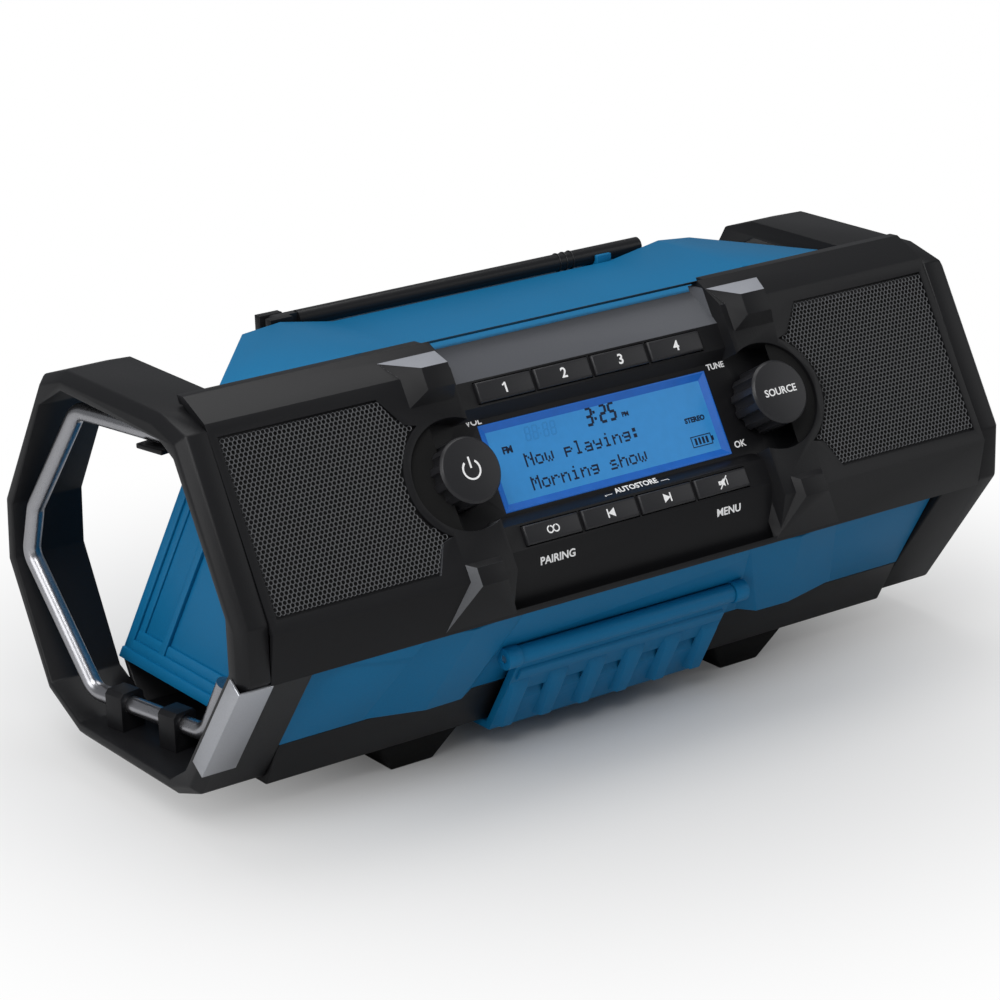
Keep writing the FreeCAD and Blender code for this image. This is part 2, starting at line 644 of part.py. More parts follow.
def antenna():
    left, depth, height = -s.antenna_left, s.antenna_depth, s.antenna_height
    body = new_body("antenna_rod", Placement(Vector(left, depth, height), Rotation()))
    tongue = 9.0
    rod = sketch_on(body, "YZ_Plane", "rod", tongue)
    draw_circle(rod, (0, 0), s.antenna_radius)
    extrude("Pad", rod, f"sizes.antenna_left + sizes.antenna_right - {tongue}")
    half = s.tongue_thickness / 2
    tip = sketch_on(body, "XZ_Plane", "tongue", -half)
    reach = s.antenna_radius - 0.4
    tip.addGeometry(Part.LineSegment(Vector(0, reach, 0), Vector(tongue + 1, reach, 0)), False)
    tip.addGeometry(Part.LineSegment(Vector(tongue + 1, reach, 0), Vector(tongue + 1, -reach, 0)), False)
    tip.addGeometry(Part.LineSegment(Vector(tongue + 1, -reach, 0), Vector(0, -reach, 0)), False)
    tip.addGeometry(Part.ArcOfCircle(Part.Circle(Vector(0, 0, 0), Vector(0, 0, 1), reach),
                                     math.pi / 2, 3 * math.pi / 2), False)
    extrude("Pad", tip, "sizes.tongue_thickness")
    cut_loops(body, "XZ_Plane", "eye", [], "30", 0.0, symmetric=True,
              circles=[((0, 0), s.antenna_pin_radius + s.running_gap)])
    keep(body)
    fork = new_body("antenna_bracket", Placement(Vector(left, depth, height), Rotation()))
    base = SHELF - height
    arm = rectangle(-5.5, 4.5, base, 3.2)
    width = 5.6
    pad_loops(fork, "XZ_Plane", "block", [arm], f"{2 * width}", symmetric=True)
    slot = rectangle(-20, 20, -s.antenna_radius - 0.45, 30)
    cut_loops(fork, "XZ_Plane", "slot", [slot], f"sizes.tongue_thickness + 2 * sizes.moving_gap",
              symmetric=True)
    cut_loops(fork, "XZ_Plane", "eye", [], "30", 0.0, symmetric=True,
              circles=[((0, 0), s.antenna_pin_radius + s.running_gap)])
    keep(fork)
    pin = primitive("Cylinder", "antenna_hinge_pin", Placement(Vector(left, depth - width, height), ALONG_Y),
                    Radius="sizes.antenna_pin_radius", Height=2 * width)
    keep(pin)
    clip = new_body("antenna_clip", Placement(Vector(60.0, depth, height), Rotation()))
    grip = s.antenna_radius + s.moving_gap
    pad_loops(clip, "YZ_Plane", "saddle", [rectangle(-5.6, 5.6, base, 1.0)], "7")
    cut_loops(clip, "YZ_Plane", "groove", [rectangle(-grip, grip, 0, 20)], "30", symmetric=True)
    cut_loops(clip, "YZ_Plane", "round", [], "30", symmetric=True, circles=[((0, 0), grip)])
    keep(clip)


SHELF = 153.4
HOOK_AXIS = Vector(-163.0, 22.0, 28.0)


def rounded_path(points, radius):
    """Straight runs joined by tangent arcs, for a bent rod."""
    edges = []
    start = points[0]
    for before, corner, after in zip(points, points[1:], points[2:]):
        into = (before - corner).normalize()
        out = (after - corner).normalize()
        half = math.acos(into.dot(out)) / 2
        reach = radius / math.tan(half)
        first = corner + into * reach
        last = corner + out * reach
        bisector = (into + out).normalize()
        middle = corner + bisector * (radius / math.sin(half) - radius)
        edges.append(Part.LineSegment(start, first).toShape())
        edges.append(Part.Arc(first, middle, last).toShape())
        start = last
    edges.append(Part.LineSegment(start, points[-1]).toShape())
    return Part.Wire(edges)


def hanging_hook():
    """A bent rod drawn about the axis of its lower run, in its own plane."""
    pivot = HOOK_AXIS
    corners = [(-33.0, 50.5), (-21.0, pivot.z), (42.0, pivot.z), (75.0, 76.0), (70.0, 95.0), (40.0, 138.6),
               (-19.0, 138.6)]
    points = [Vector(0, depth - pivot.y, height - pivot.z) for depth, height in corners]
    path = rounded_path(points, 8.0)
    ring = Part.Wire(Part.Circle(points[0], points[1] - points[0], s.hook_radius).toShape())
    rod = path.makePipeShell([ring], True, False)
    hook = doc.addObject("Part::Feature", "hanging_hook")
    hook.Label = "hanging_hook"
    hook.Shape = rod
    hook.Placement = HOOK_PLACE
    keep(hook)


HOOK_PLACE = Placement(HOOK_AXIS, Rotation(Vector(0, 0, 1), s.hook_turn))


def hook_supports():
    saddles = []
    bed = 18.4
    for index, run in enumerate((-22.0, 8.0)):
        body = new_body(f"saddle_{index}", HOOK_PLACE)
        radius = s.hook_radius + 2.0
        block = [(-radius, bed - HOOK_AXIS.z), (radius, bed - HOOK_AXIS.z), (radius, radius - 1.5),
                 (radius - 1.5, radius), (1.5 - radius, radius), (-radius, radius - 1.5)]
        pad_loops(body, "XZ_Plane", "block", [block], "sizes.saddle_length", -run)
        cut_loops(body, "XZ_Plane", "bore", [], "200", symmetric=True,
                  circles=[((0, 0), s.hook_radius + s.running_gap)])
        saddles.append(body)
    keep(group("hook_saddles", saddles))
    clip = new_body("hook_clip", HOOK_PLACE)
    top = 138.6 - HOOK_AXIS.z
    grip = s.hook_radius + s.moving_gap
    jaw = [(-5.0, top - grip - 2), (grip + 3, top - grip - 2), (grip + 3, 148.0 - HOOK_AXIS.z),
           (-5.0, 148.0 - HOOK_AXIS.z)]
    pad_loops(clip, "XZ_Plane", "jaw", [jaw], "14", 20.0)
    mouth = [(-20, top - grip), (0, top - grip), (0, top + grip), (-20, top + grip)]
    cut_loops(clip, "XZ_Plane", "mouth", [mouth], "200", symmetric=True)
    cut_loops(clip, "XZ_Plane", "round", [], "200", symmetric=True, circles=[((0, top), grip)])
    keep(clip)


def corner_guard():
    """The folded sheet on the lower front corner of the left handle, with its notch."""
    body = new_body("corner_guard_plate")
    front_line = [(-83.2, 70.0), (-44.0, 16.8)]
    run = math.hypot(front_line[1][0] - front_line[0][0], front_line[1][1] - front_line[0][1])
    dy, dz = (front_line[1][0] - front_line[0][0]) / run, (front_line[1][1] - front_line[0][1]) / run
    a = (front_line[0][0] + dy * 2, front_line[0][1] + dz * 2)
    b = (front_line[0][0] + dy * 52, front_line[0][1] + dz * 52)
    depth = 6.4
    rise = s.plate_thickness
    leaf = [(a[0] + dz * rise, a[1] - dy * rise), (b[0] + dz * rise, b[1] - dy * rise),
            (b[0] - dz * depth, b[1] + dy * depth), (a[0] - dz * depth, a[1] + dy * depth)]
    pad_loops(body, "YZ_Plane", "side", [leaf], "sizes.plate_thickness",
              -s.handle_half - s.plate_thickness - 0.02)
    face = [a, (a[0] + dz * s.plate_thickness, a[1] - dy * s.plate_thickness),
            (b[0] + dz * s.plate_thickness, b[1] - dy * s.plate_thickness), b]
    shift = [(y + dz * 0.02, z - dy * 0.02) for y, z in face]
    pad_loops(body, "YZ_Plane", "front", [shift], "14",
              -s.handle_half - s.plate_thickness - 0.02)
    keep(body)


front_bezel()
for direction, hand in ((-1, "left"), (1, "right")):
    speaker_grille(direction, f"{hand}_speaker_grille")
    speaker_driver(direction, f"{hand}_speaker_driver")
    handle_frame(direction, f"{hand}_handle_frame")
display_parts()
for number in range(4):
    push_button("upper", number, f"preset_button_{number + 1}")
for number, name in enumerate(("pairing_button", "previous_button", "next_button", "mute_button")):
    push_button("lower", number, name)
knob(-1, "volume_knob", "volume_encoder", "volume_shaft")
knob(1, "tune_knob", "tune_encoder", "tune_shaft")
rear_housing()
housing_screws()
base_skid()
feet("front_feet", -28.0)
feet("rear_feet", 32.0)
battery_door()
battery_tray()
antenna()
hanging_hook()
hook_supports()
corner_guard()

doc.recompute()
for item in doc.Objects:
    assert not {"Invalid", "Error"} & set(item.State), f"{item.Label} failed: {item.State}"
for item in nodes:
    assert not item.Shape.isNull() and item.Shape.isValid(), f"{item.Label} has no sound shape"
os.makedirs("parts", exist_ok=True)
for item in nodes:
    item.Shape.exportStep(f"parts/{item.Label}.step")
    box = item.Shape.BoundBox
    print(f"{item.Label:24s} solids {len(item.Shape.Solids)} volume {item.Shape.Volume:10.1f} "
          f"x {box.XMin:7.1f} {box.XMax:7.1f} y {box.YMin:7.1f} {box.YMax:7.1f} z {box.ZMin:6.1f} {box.ZMax:6.1f}")
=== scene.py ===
import json
import math

import bmesh
import bpy
from mathutils import Matrix, Vector


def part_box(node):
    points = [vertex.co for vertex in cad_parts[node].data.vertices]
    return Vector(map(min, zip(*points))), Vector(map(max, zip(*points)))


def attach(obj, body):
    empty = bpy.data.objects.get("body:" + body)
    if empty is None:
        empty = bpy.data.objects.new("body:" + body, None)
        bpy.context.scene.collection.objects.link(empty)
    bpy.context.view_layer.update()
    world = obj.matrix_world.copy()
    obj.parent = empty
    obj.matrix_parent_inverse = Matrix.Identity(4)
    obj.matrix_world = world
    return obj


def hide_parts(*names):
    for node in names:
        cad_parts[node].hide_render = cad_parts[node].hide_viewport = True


bl_info = {
    "name": "Jobsite radio finishes",
    "version": (1, 0, 0),
    "blender": (4, 5, 0),
    "location": "View3D > Sidebar > Radio",
    "description": "Dresses the packed radio with its details, materials, lights and camera",
    "category": "Object",
}

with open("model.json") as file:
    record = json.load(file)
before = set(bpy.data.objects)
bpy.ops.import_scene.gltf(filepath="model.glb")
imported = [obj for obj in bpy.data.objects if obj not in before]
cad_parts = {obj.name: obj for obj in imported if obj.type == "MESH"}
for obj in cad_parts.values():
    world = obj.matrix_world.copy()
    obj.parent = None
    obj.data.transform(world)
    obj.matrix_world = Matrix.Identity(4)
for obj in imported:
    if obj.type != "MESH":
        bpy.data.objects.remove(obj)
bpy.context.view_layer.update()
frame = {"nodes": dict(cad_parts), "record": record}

MM = 0.001
PANEL = Matrix.Rotation(math.radians(60.3), 4, "X")
SIDES = {"left": -1, "right": 1}
# Places on the leaning panel in millimetres: x along it, up its slope, and out from the frame's origin.
KNOB_X = 71.1
KNOB_UP = 71.0
FLOOR_OUT = 107.9
FACE_OUT = 118.0
KNOB_FACE = 123.5


def deselect():
    bpy.ops.object.select_all(action="DESELECT")


def pick(piece):
    deselect()
    piece.select_set(True)
    bpy.context.view_layer.objects.active = piece


def settle(piece, name, body="root", material=None, panel=False):
    """Bake a new piece's place into its mesh, name it and hang it on its body."""
    pick(piece)
    bpy.context.view_layer.update()
    if panel:
        piece.matrix_world = PANEL @ piece.matrix_world
    bpy.ops.object.transform_apply(location=True, rotation=True, scale=True)
    piece.name = name
    piece.data.name = name
    if material:
        piece.data.materials.clear()
        piece.data.materials.append(material)
    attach(piece, body)
    return piece


def join(parts):
    deselect()
    for part in parts:
        part.select_set(True)
    bpy.context.view_layer.objects.active = parts[0]
    if len(parts) > 1:
        bpy.ops.object.join()
    return bpy.context.view_layer.objects.active


def add_modifier(piece, kind, **settings):
    pick(piece)
    modifier = piece.modifiers.new(kind.title(), kind)
    for key, value in settings.items():
        setattr(modifier, key, value)
    bpy.ops.object.modifier_apply(modifier=modifier.name)


def bevel(piece, width, segments=2, angle=30.0):
    add_modifier(piece, "BEVEL", width=width, segments=segments, limit_method="ANGLE",
                 angle_limit=math.radians(angle), use_clamp_overlap=True, harden_normals=False)


def smooth(piece, angle=35.0):
    pick(piece)
    bpy.ops.object.shade_smooth_by_angle(angle=math.radians(angle))


class RadioSettings(bpy.types.PropertyGroup):
    housing_blue: bpy.props.FloatVectorProperty(
        name="Housing blue", description="Colour of the rear housing", subtype="COLOR",
        size=3, default=(0.004, 0.150, 0.330))
    bezel_black: bpy.props.FloatVectorProperty(
        name="Bezel black", description="Colour of the moulded black parts", subtype="COLOR",
        size=3, default=(0.008, 0.008, 0.009))
    strip_grey: bpy.props.FloatVectorProperty(
        name="Console grey", description="Colour of the strip above the buttons", subtype="COLOR",
        size=3, default=(0.095, 0.099, 0.110))
    screen_blue: bpy.props.FloatVectorProperty(
        name="Screen blue", description="Colour of the lit display", subtype="COLOR",
        size=3, default=(0.030, 0.210, 0.500))
    metal: bpy.props.FloatVectorProperty(
        name="Metal", description="Colour of the hook", subtype="COLOR",
        size=3, default=(0.42, 0.42, 0.44))
    mesh_pitch: bpy.props.FloatProperty(
        name="Mesh pitch", description="Distance between holes in the speaker mesh", default=1.8 * MM,
        unit="LENGTH")
    lens: bpy.props.FloatProperty(
        name="Lens", description="Focal length of the camera in millimetres", default=118.6)


def settings():
    return bpy.context.scene.radio_settings


def new_group(name, inputs, outputs):
    group = bpy.data.node_groups.new(name, "ShaderNodeTree")
    for label, kind, value in inputs:
        socket = group.interface.new_socket(name=label, in_out="INPUT", socket_type=kind)
        socket.default_value = value
    for label, kind in outputs:
        group.interface.new_socket(name=label, in_out="OUTPUT", socket_type=kind)
    group.nodes.new("NodeGroupInput")
    group.nodes.new("NodeGroupOutput")
    return group


DRIFT_SCALE = 14
GRAIN_HEIGHT = 0.0002


def moulded_grain():
    """Fine spark-eroded grain with a slow drift of tone, for moulded plastics."""
    if "moulded_grain" in bpy.data.node_groups:
        return bpy.data.node_groups["moulded_grain"]
    group = new_group(
        "moulded_grain",
        [("Colour", "NodeSocketColor", (0.5, 0.5, 0.5, 1)), ("Scale", "NodeSocketFloat", 1500.0),
         ("Depth", "NodeSocketFloat", 0.1), ("Roughness", "NodeSocketFloat", 0.5),
         ("Drift", "NodeSocketFloat", 0.06)],
        [("Colour", "NodeSocketColor"), ("Roughness", "NodeSocketFloat"), ("Normal", "NodeSocketVector")])
    nodes, links = group.nodes, group.links
    source, sink = nodes["Group Input"], nodes["Group Output"]
    place = nodes.new("ShaderNodeTexCoord")
    fine = nodes.new("ShaderNodeTexNoise")
    fine.inputs["Detail"].default_value = 3
    slow = nodes.new("ShaderNodeTexNoise")
    slow.inputs["Scale"].default_value = DRIFT_SCALE
    for noise in (fine, slow):
        links.new(place.outputs["Object"], noise.inputs["Vector"])
    links.new(source.outputs["Scale"], fine.inputs["Scale"])
    bump = nodes.new("ShaderNodeBump")
    bump.inputs["Distance"].default_value = GRAIN_HEIGHT
    links.new(source.outputs["Depth"], bump.inputs["Strength"])
    links.new(fine.outputs["Fac"], bump.inputs["Height"])
    links.new(bump.outputs["Normal"], sink.inputs["Normal"])
    mixed = nodes.new("ShaderNodeMath")
    mixed.operation = "MULTIPLY_ADD"
    mixed.inputs[1].default_value = 0.5
    links.new(fine.outputs["Fac"], mixed.inputs[0])
    halved = nodes.new("ShaderNodeMath")
    halved.operation = "MULTIPLY"
    halved.inputs[1].default_value = 0.5
    links.new(slow.outputs["Fac"], halved.inputs[0])
    links.new(halved.outputs[0], mixed.inputs[2])
    span = nodes.new("ShaderNodeMapRange")
    span.inputs["From Min"].default_value = 0.3
    span.inputs["From Max"].default_value = 0.7
    low = nodes.new("ShaderNodeMath")
    low.operation = "SUBTRACT"
    low.inputs[0].default_value = 1
    links.new(source.outputs["Drift"], low.inputs[1])
    high = nodes.new("ShaderNodeMath")
    high.operation = "ADD"
    high.inputs[0].default_value = 1
    links.new(source.outputs["Drift"], high.inputs[1])
    links.new(mixed.outputs[0], span.inputs["Value"])
    links.new(low.outputs[0], span.inputs["To Min"])
    links.new(high.outputs[0], span.inputs["To Max"])
    tint = nodes.new("ShaderNodeVectorMath")
    tint.operation = "SCALE"
    links.new(source.outputs["Colour"], tint.inputs[0])
    links.new(span.outputs["Result"], tint.inputs["Scale"])
    links.new(tint.outputs["Vector"], sink.inputs["Colour"])
    gloss = nodes.new("ShaderNodeMath")
    gloss.operation = "MULTIPLY"
    links.new(source.outputs["Roughness"], gloss.inputs[0])
    links.new(span.outputs["Result"], gloss.inputs[1])
    links.new(gloss.outputs[0], sink.inputs["Roughness"])
    return group


def plastic(name, colour, roughness=0.5, scale=1500.0, depth=0.1, drift=0.06, metallic=0.0, emission=0.0,
            shine=0.32):
    name = f"finish_{name}"
    if name in bpy.data.materials:
        return bpy.data.materials[name]
    material = bpy.data.materials.new(name)
    material.use_nodes = True
    nodes, links = material.node_tree.nodes, material.node_tree.links
    shader = nodes["Principled BSDF"]
    shader.inputs["Metallic"].default_value = metallic
    shader.inputs["Specular IOR Level"].default_value = shine
    grain = nodes.new("ShaderNodeGroup")
    grain.node_tree = moulded_grain()
    grain.inputs["Colour"].default_value = (*colour, 1)
    grain.inputs["Scale"].default_value = scale
    grain.inputs["Depth"].default_value = depth
    grain.inputs["Roughness"].default_value = roughness
    grain.inputs["Drift"].default_value = drift
    links.new(grain.outputs["Colour"], shader.inputs["Base Color"])
    links.new(grain.outputs["Roughness"], shader.inputs["Roughness"])
    links.new(grain.outputs["Normal"], shader.inputs["Normal"])
    if emission:
        links.new(grain.outputs["Colour"], shader.inputs["Emission Color"])
        shader.inputs["Emission Strength"].default_value = emission
    return material


def finishes():
    look = settings()
    return {
        "blue": plastic("housing_blue", look.housing_blue, 0.45, 1300, 0.12, 0.08, shine=0.20),
        "black": plastic("bezel_black", look.bezel_black, 0.42, 1500, 0.16, 0.10, shine=0.25),
        # Painted highlights: two lighter greys stand in for the overhead light glinting off the black guards'
        # upper and lower facets.
        "painted_highlight": plastic("guard_painted_highlight", (0.30, 0.31, 0.34), 0.35, 1500, 0.10, 0.12),
        "satin": plastic("guard_lower_painted_highlight", (0.075, 0.078, 0.085), 0.38, 1500, 0.10, 0.12),
        "console": plastic("console_black", (0.008, 0.008, 0.009), 0.36, 1500, 0.10, 0.10, shine=0.18),
        "grey": plastic("console_grey", look.strip_grey, 0.33, 1500, 0.10),
        "button": plastic("button_black", (0.020, 0.020, 0.022), 0.36, 1700, 0.08, 0.10),
        "knob": plastic("knob_black", (0.018, 0.018, 0.020), 0.36, 1500, 0.08, 0.10),
        "rubber": plastic("foot_rubber", (0.006, 0.006, 0.006), 0.66, 900, 0.22, 0.12, shine=0.12),
        "mesh": plastic("mesh_paint", (0.085, 0.087, 0.092), 0.42, 2500, 0.05),
        "cloth": plastic("backing_cloth", (0.006, 0.006, 0.006), 0.9, 3000, 0.3),
        "metal": plastic("hook_metal", look.metal, 0.28, 2500, 0.05, 0.10, metallic=1.0),
        "plate": plastic("plate_metal", (0.50, 0.51, 0.54), 0.38, 2200, 0.12, 0.12, metallic=0.9),
        "rod": plastic("antenna_black", (0.010, 0.010, 0.011), 0.30, 2500, 0.04),
        "board": plastic("board_green", (0.01, 0.07, 0.03), 0.4),
        # White print that also glows a little: the emission is painted light that keeps the print bright.
        "ink": plastic("label_white_painted_glow", (0.80, 0.80, 0.80), 0.5, 2500, 0.02, emission=0.12),
        "lcd_ink": plastic("screen_ink", (0.004, 0.010, 0.035), 0.4, 2500, 0.02),
        "lcd_faint": plastic("screen_faint", (0.026, 0.185, 0.450), 0.3, 2500, 0.02, emission=0.25),
        "screen": plastic("screen_glass", look.screen_blue, 0.30, 300, 0.02, 0.05, emission=0.26),
        "glow": plastic("screen_rim", (0.008, 0.070, 0.280), 0.30, 300, 0.02, 0.10, emission=0.70),
        "steel": plastic("bright_steel", (0.55, 0.55, 0.56), 0.3, 2500, 0.04, metallic=1.0),
    }


CAD_FINISH = {
    "rear_housing": "blue", "antenna_clip": "blue", "battery_door": "blue", "front_bezel": "black",
    "left_handle_frame": "black", "right_handle_frame": "black", "base_skid": "black", "hook_clip": "black",
    "hook_saddles": "black", "antenna_bracket": "black", "battery_tray": "black", "front_feet": "rubber",
    "rear_feet": "rubber", "left_speaker_driver": "cloth", "right_speaker_driver": "cloth",
    "volume_encoder": "steel", "tune_encoder": "steel", "volume_shaft": "steel", "tune_shaft": "steel",
    "antenna_rod": "rod", "antenna_hinge_pin": "steel", "door_hinge_pins": "steel",
    "housing_screws": "steel", "hanging_hook": "metal", "corner_guard_plate": "plate",
    "battery_terminals": "steel", "main_circuit_board": "board", "lcd_module": "board",
    "volume_knob": "knob", "tune_knob": "knob", "display_window": "glow",
    "left_speaker_grille": "mesh", "right_speaker_grille": "mesh",
}
SOFT_EDGED = {
    "front_bezel": 0.7, "rear_housing": 0.9, "left_handle_frame": 0.9, "right_handle_frame": 0.9,
    "base_skid": 0.6, "battery_door": 0.7, "front_feet": 0.8, "rear_feet": 0.8, "volume_knob": 0.3,
    "tune_knob": 0.3, "corner_guard_plate": 0.25, "hook_clip": 0.5, "hook_saddles": 0.5,
    "antenna_bracket": 0.4, "antenna_clip": 0.4,
}


BUTTON_EDGE = 0.35
CONSOLE_HALF = 62.3
CONSOLE_OUT = 113.5
STRIP_UP = 103.2
GUARD_OUT = 112.0
GUARD_EDGE = 93.0
UPPER_GUARD_START = 62.5
UPPER_GUARD_UP = 96.0
LOWER_GUARD_START = 58.0
LOWER_GUARD_UP = 52.0


def body_of_node(node):
    bodies = frame["record"]["behaviour"]["bodies"]
    return next(name for name, held in bodies.items() if node in held)


class RADIO_OT_finish_nodes(bpy.types.Operator):
    """Give every carried-over piece its material, and round the moulded edges of those that show"""
    bl_idname = "radio.finish_nodes"
    bl_label = "Finish the moulded pieces"

    def execute(self, context):
        made = finishes()
        for node, piece in frame["nodes"].items():
            finish = CAD_FINISH.get(node, "button")
            piece.data.materials.clear()
            piece.data.materials.append(made[finish])
            is_button = node.endswith("_button") or "preset" in node
            width = SOFT_EDGED.get(node, BUTTON_EDGE if is_button else 0)
            if width:
                self.soften(node, piece, width, made)
        return {"FINISHED"}

    def soften(self, node, piece, width, made):
        copy = piece.copy()
        copy.data = piece.data.copy()
        copy.parent = None
        copy.matrix_world = Matrix.Identity(4)
        bpy.context.scene.collection.objects.link(copy)
        pick(copy)
        bpy.ops.object.mode_set(mode="EDIT")
        bpy.ops.mesh.select_all(action="SELECT")
        bpy.ops.mesh.remove_doubles(threshold=0.00001)
        bpy.ops.mesh.dissolve_limited(angle_limit=math.radians(1.0))
        bpy.ops.object.mode_set(mode="OBJECT")
        bevel(copy, width * MM, 2, 24)
        smooth(copy, 32)
        settle(copy, f"{node}_shell", body_of_node(node))
        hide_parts(node)
        if node == "front_bezel":
            self.paint_console(copy, made)

    def paint_console(self, piece, made):
        """Make the console smoother and its top strip grey, and paint highlights onto the guards' facets in
        two lighter greys.
        """
        for finish in ("console", "grey", "painted_highlight", "satin"):
            piece.data.materials.append(made[finish])
        back = PANEL.inverted()
        for face in piece.data.polygons:
            x, up, out = (value / MM for value in back @ face.center)
            normal = back.to_3x3() @ face.normal
            spread = abs(x)
            on_guard = LOWER_GUARD_START < spread < GUARD_EDGE and out > GUARD_OUT
            upper = up > UPPER_GUARD_UP and spread > UPPER_GUARD_START and normal.y > 0.30
            lower = up < LOWER_GUARD_UP and x * normal.x > 0 and normal.y > -0.1
            if spread < CONSOLE_HALF and normal.z > 0.15 and out < CONSOLE_OUT:
                face.material_index = 2 if up > STRIP_UP else 1
            # Painted highlight on the upper guards' upward facets.
            elif on_guard and upper:
                face.material_index = 3
            # Painted highlight, a dimmer grey, on the lower guards' outward facets.
            elif on_guard and lower:
                face.material_index = 4


SPEAKER_OUTLINE = [
    (160.2, 38.6), (160.2, 103.6), (96.2, 103.6), (88.2, 92.4), (76.6, 89.4), (76.6, 52.6), (88.2, 49.4),
    (93.2, 38.6),
]
DISH_CLEARANCE = 25.0
MESH_START = {"left": -161, "right": 75}
MESH_LOW = 37
MESH_WIDTH = 86
MESH_HEIGHT = 70
MESH_WIRE = 0.50
MESH_SINK = 0.45
CLOTH_X = 119
CLOTH_SIZE = (83.0, 65.6, 0.5)
CLOTH_SINK = 1.9


def in_outline(x, up, side):
    """Whether a hole of the mesh lies in the speaker field beside the knob."""
    x = x * side
    inside = False
    for (ax, ay), (bx, by) in zip(SPEAKER_OUTLINE, SPEAKER_OUTLINE[1:] + SPEAKER_OUTLINE[:1]):
        if (ay > up) != (by > up) and x < (bx - ax) * (up - ay) / (by - ay) + ax:
            inside = not inside
    return inside and math.hypot(x - KNOB_X, up - KNOB_UP) > DISH_CLEARANCE


class RADIO_OT_speaker_mesh(bpy.types.Operator):
    """Weave the perforated metal sheets over the speakers, with dark cloth behind"""
    bl_idname = "radio.speaker_mesh"
    bl_label = "Speaker mesh"

    def execute(self, context):
        made = finishes()
        pitch = settings().mesh_pitch
        radius = pitch / math.sqrt(3)
        columns = int(MESH_WIDTH * MM / pitch) + 2
        rows = int(MESH_HEIGHT * MM / (1.5 * radius)) + 2
        for hand, side in SIDES.items():
            corner = (MESH_START[hand] * MM, MESH_LOW * MM, 0)
            bpy.ops.mesh.primitive_circle_add(vertices=6, radius=radius, fill_type="NGON", location=corner)
            sheet = context.object
            pick(sheet)
            bpy.ops.object.transform_apply(location=True, rotation=True, scale=True)
            add_modifier(sheet, "ARRAY", count=2, use_relative_offset=False, use_constant_offset=True,
                         constant_offset_displace=(pitch / 2, 1.5 * radius, 0))
            add_modifier(sheet, "ARRAY", count=columns, use_relative_offset=False, use_constant_offset=True,
                         constant_offset_displace=(pitch, 0, 0))
            add_modifier(sheet, "ARRAY", count=rows // 2 + 1, use_relative_offset=False,
                         use_constant_offset=True, constant_offset_displace=(0, 3 * radius, 0))
            pick(sheet)
            bpy.ops.object.mode_set(mode="EDIT")
            bpy.ops.mesh.select_mode(type="FACE")
            bpy.ops.mesh.select_all(action="DESELECT")
            shape = bmesh.from_edit_mesh(sheet.data)
            for face in shape.faces:
                spot = face.calc_center_median() / MM
                face.select = not in_outline(spot.x, spot.y, side)
            bmesh.update_edit_mesh(sheet.data)
            bpy.ops.mesh.delete(type="FACE")
            bpy.ops.mesh.select_all(action="SELECT")
            bpy.ops.mesh.remove_doubles(threshold=0.00002)
            bpy.ops.object.mode_set(mode="OBJECT")
            add_modifier(sheet, "WIREFRAME", thickness=MESH_WIRE * MM, use_replace=True,
                         use_even_offset=False)
            sheet.location.z = (FACE_OUT - MESH_SINK) * MM
            settle(sheet, f"{hand}_mesh", "root", made["mesh"], panel=True)
            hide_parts(f"{hand}_speaker_grille")
            self.cloth(hand, side, made)
        return {"FINISHED"}

    def cloth(self, hand, side, made):
        """Dark cloth behind one sheet."""
        place = (side * CLOTH_X * MM, KNOB_UP * MM, (FACE_OUT - CLOTH_SINK) * MM)
        bpy.ops.mesh.primitive_cube_add(size=1, location=place)
        piece = bpy.context.object
        piece.scale = [length * MM for length in CLOTH_SIZE]
        pick(piece)
        bpy.ops.object.transform_apply(location=False, rotation=False, scale=True)
        bevel(piece, 0.1 * MM, 1)
        settle(piece, f"{hand}_mesh_backing", "root", made["cloth"], panel=True)


PRINT_DEPTH = 0.04


def lettering(text, x, up, out, size, material, name, body="root", bold=0.012,
              lean=0.0):
    """Printed text lying on the panel, as a thin raised mesh; lean tips it with a slope."""
    bpy.ops.object.text_add(location=(x * MM, up * MM, out * MM), rotation=(math.radians(lean), 0, 0))
    piece = bpy.context.object
    data = piece.data
    data.body = text
    data.size = size * MM
    data.align_x = "CENTER"
    data.align_y = "CENTER"
    data.offset = bold * size * MM
    data.extrude = PRINT_DEPTH * MM
    data.resolution_u = 3
    pick(piece)
    bpy.ops.object.convert(target="MESH")
    return settle(bpy.context.object, name, body, material, panel=True)


def bar(x, up, out, width, height, angle=0.0):
    """A flat printed bar."""
    bpy.ops.mesh.primitive_cube_add(size=1, location=(x * MM, up * MM, out * MM),
                                    rotation=(0, 0, math.radians(angle)))
    piece = bpy.context.object
    piece.scale = (width * MM, height * MM, PRINT_DEPTH * MM)
    pick(piece)
    bpy.ops.object.transform_apply(location=True, rotation=True, scale=True)
    return piece


def triangle(x, up, out, radius, turn):
    """A flat printed triangle."""
    bpy.ops.mesh.primitive_cylinder_add(vertices=3, radius=radius * MM, depth=PRINT_DEPTH * MM,
                                        location=(x * MM, up * MM, out * MM),
                                        rotation=(0, 0, math.radians(turn)))
    piece = bpy.context.object
    pick(piece)
    bpy.ops.object.transform_apply(location=True, rotation=True, scale=True)
    return piece


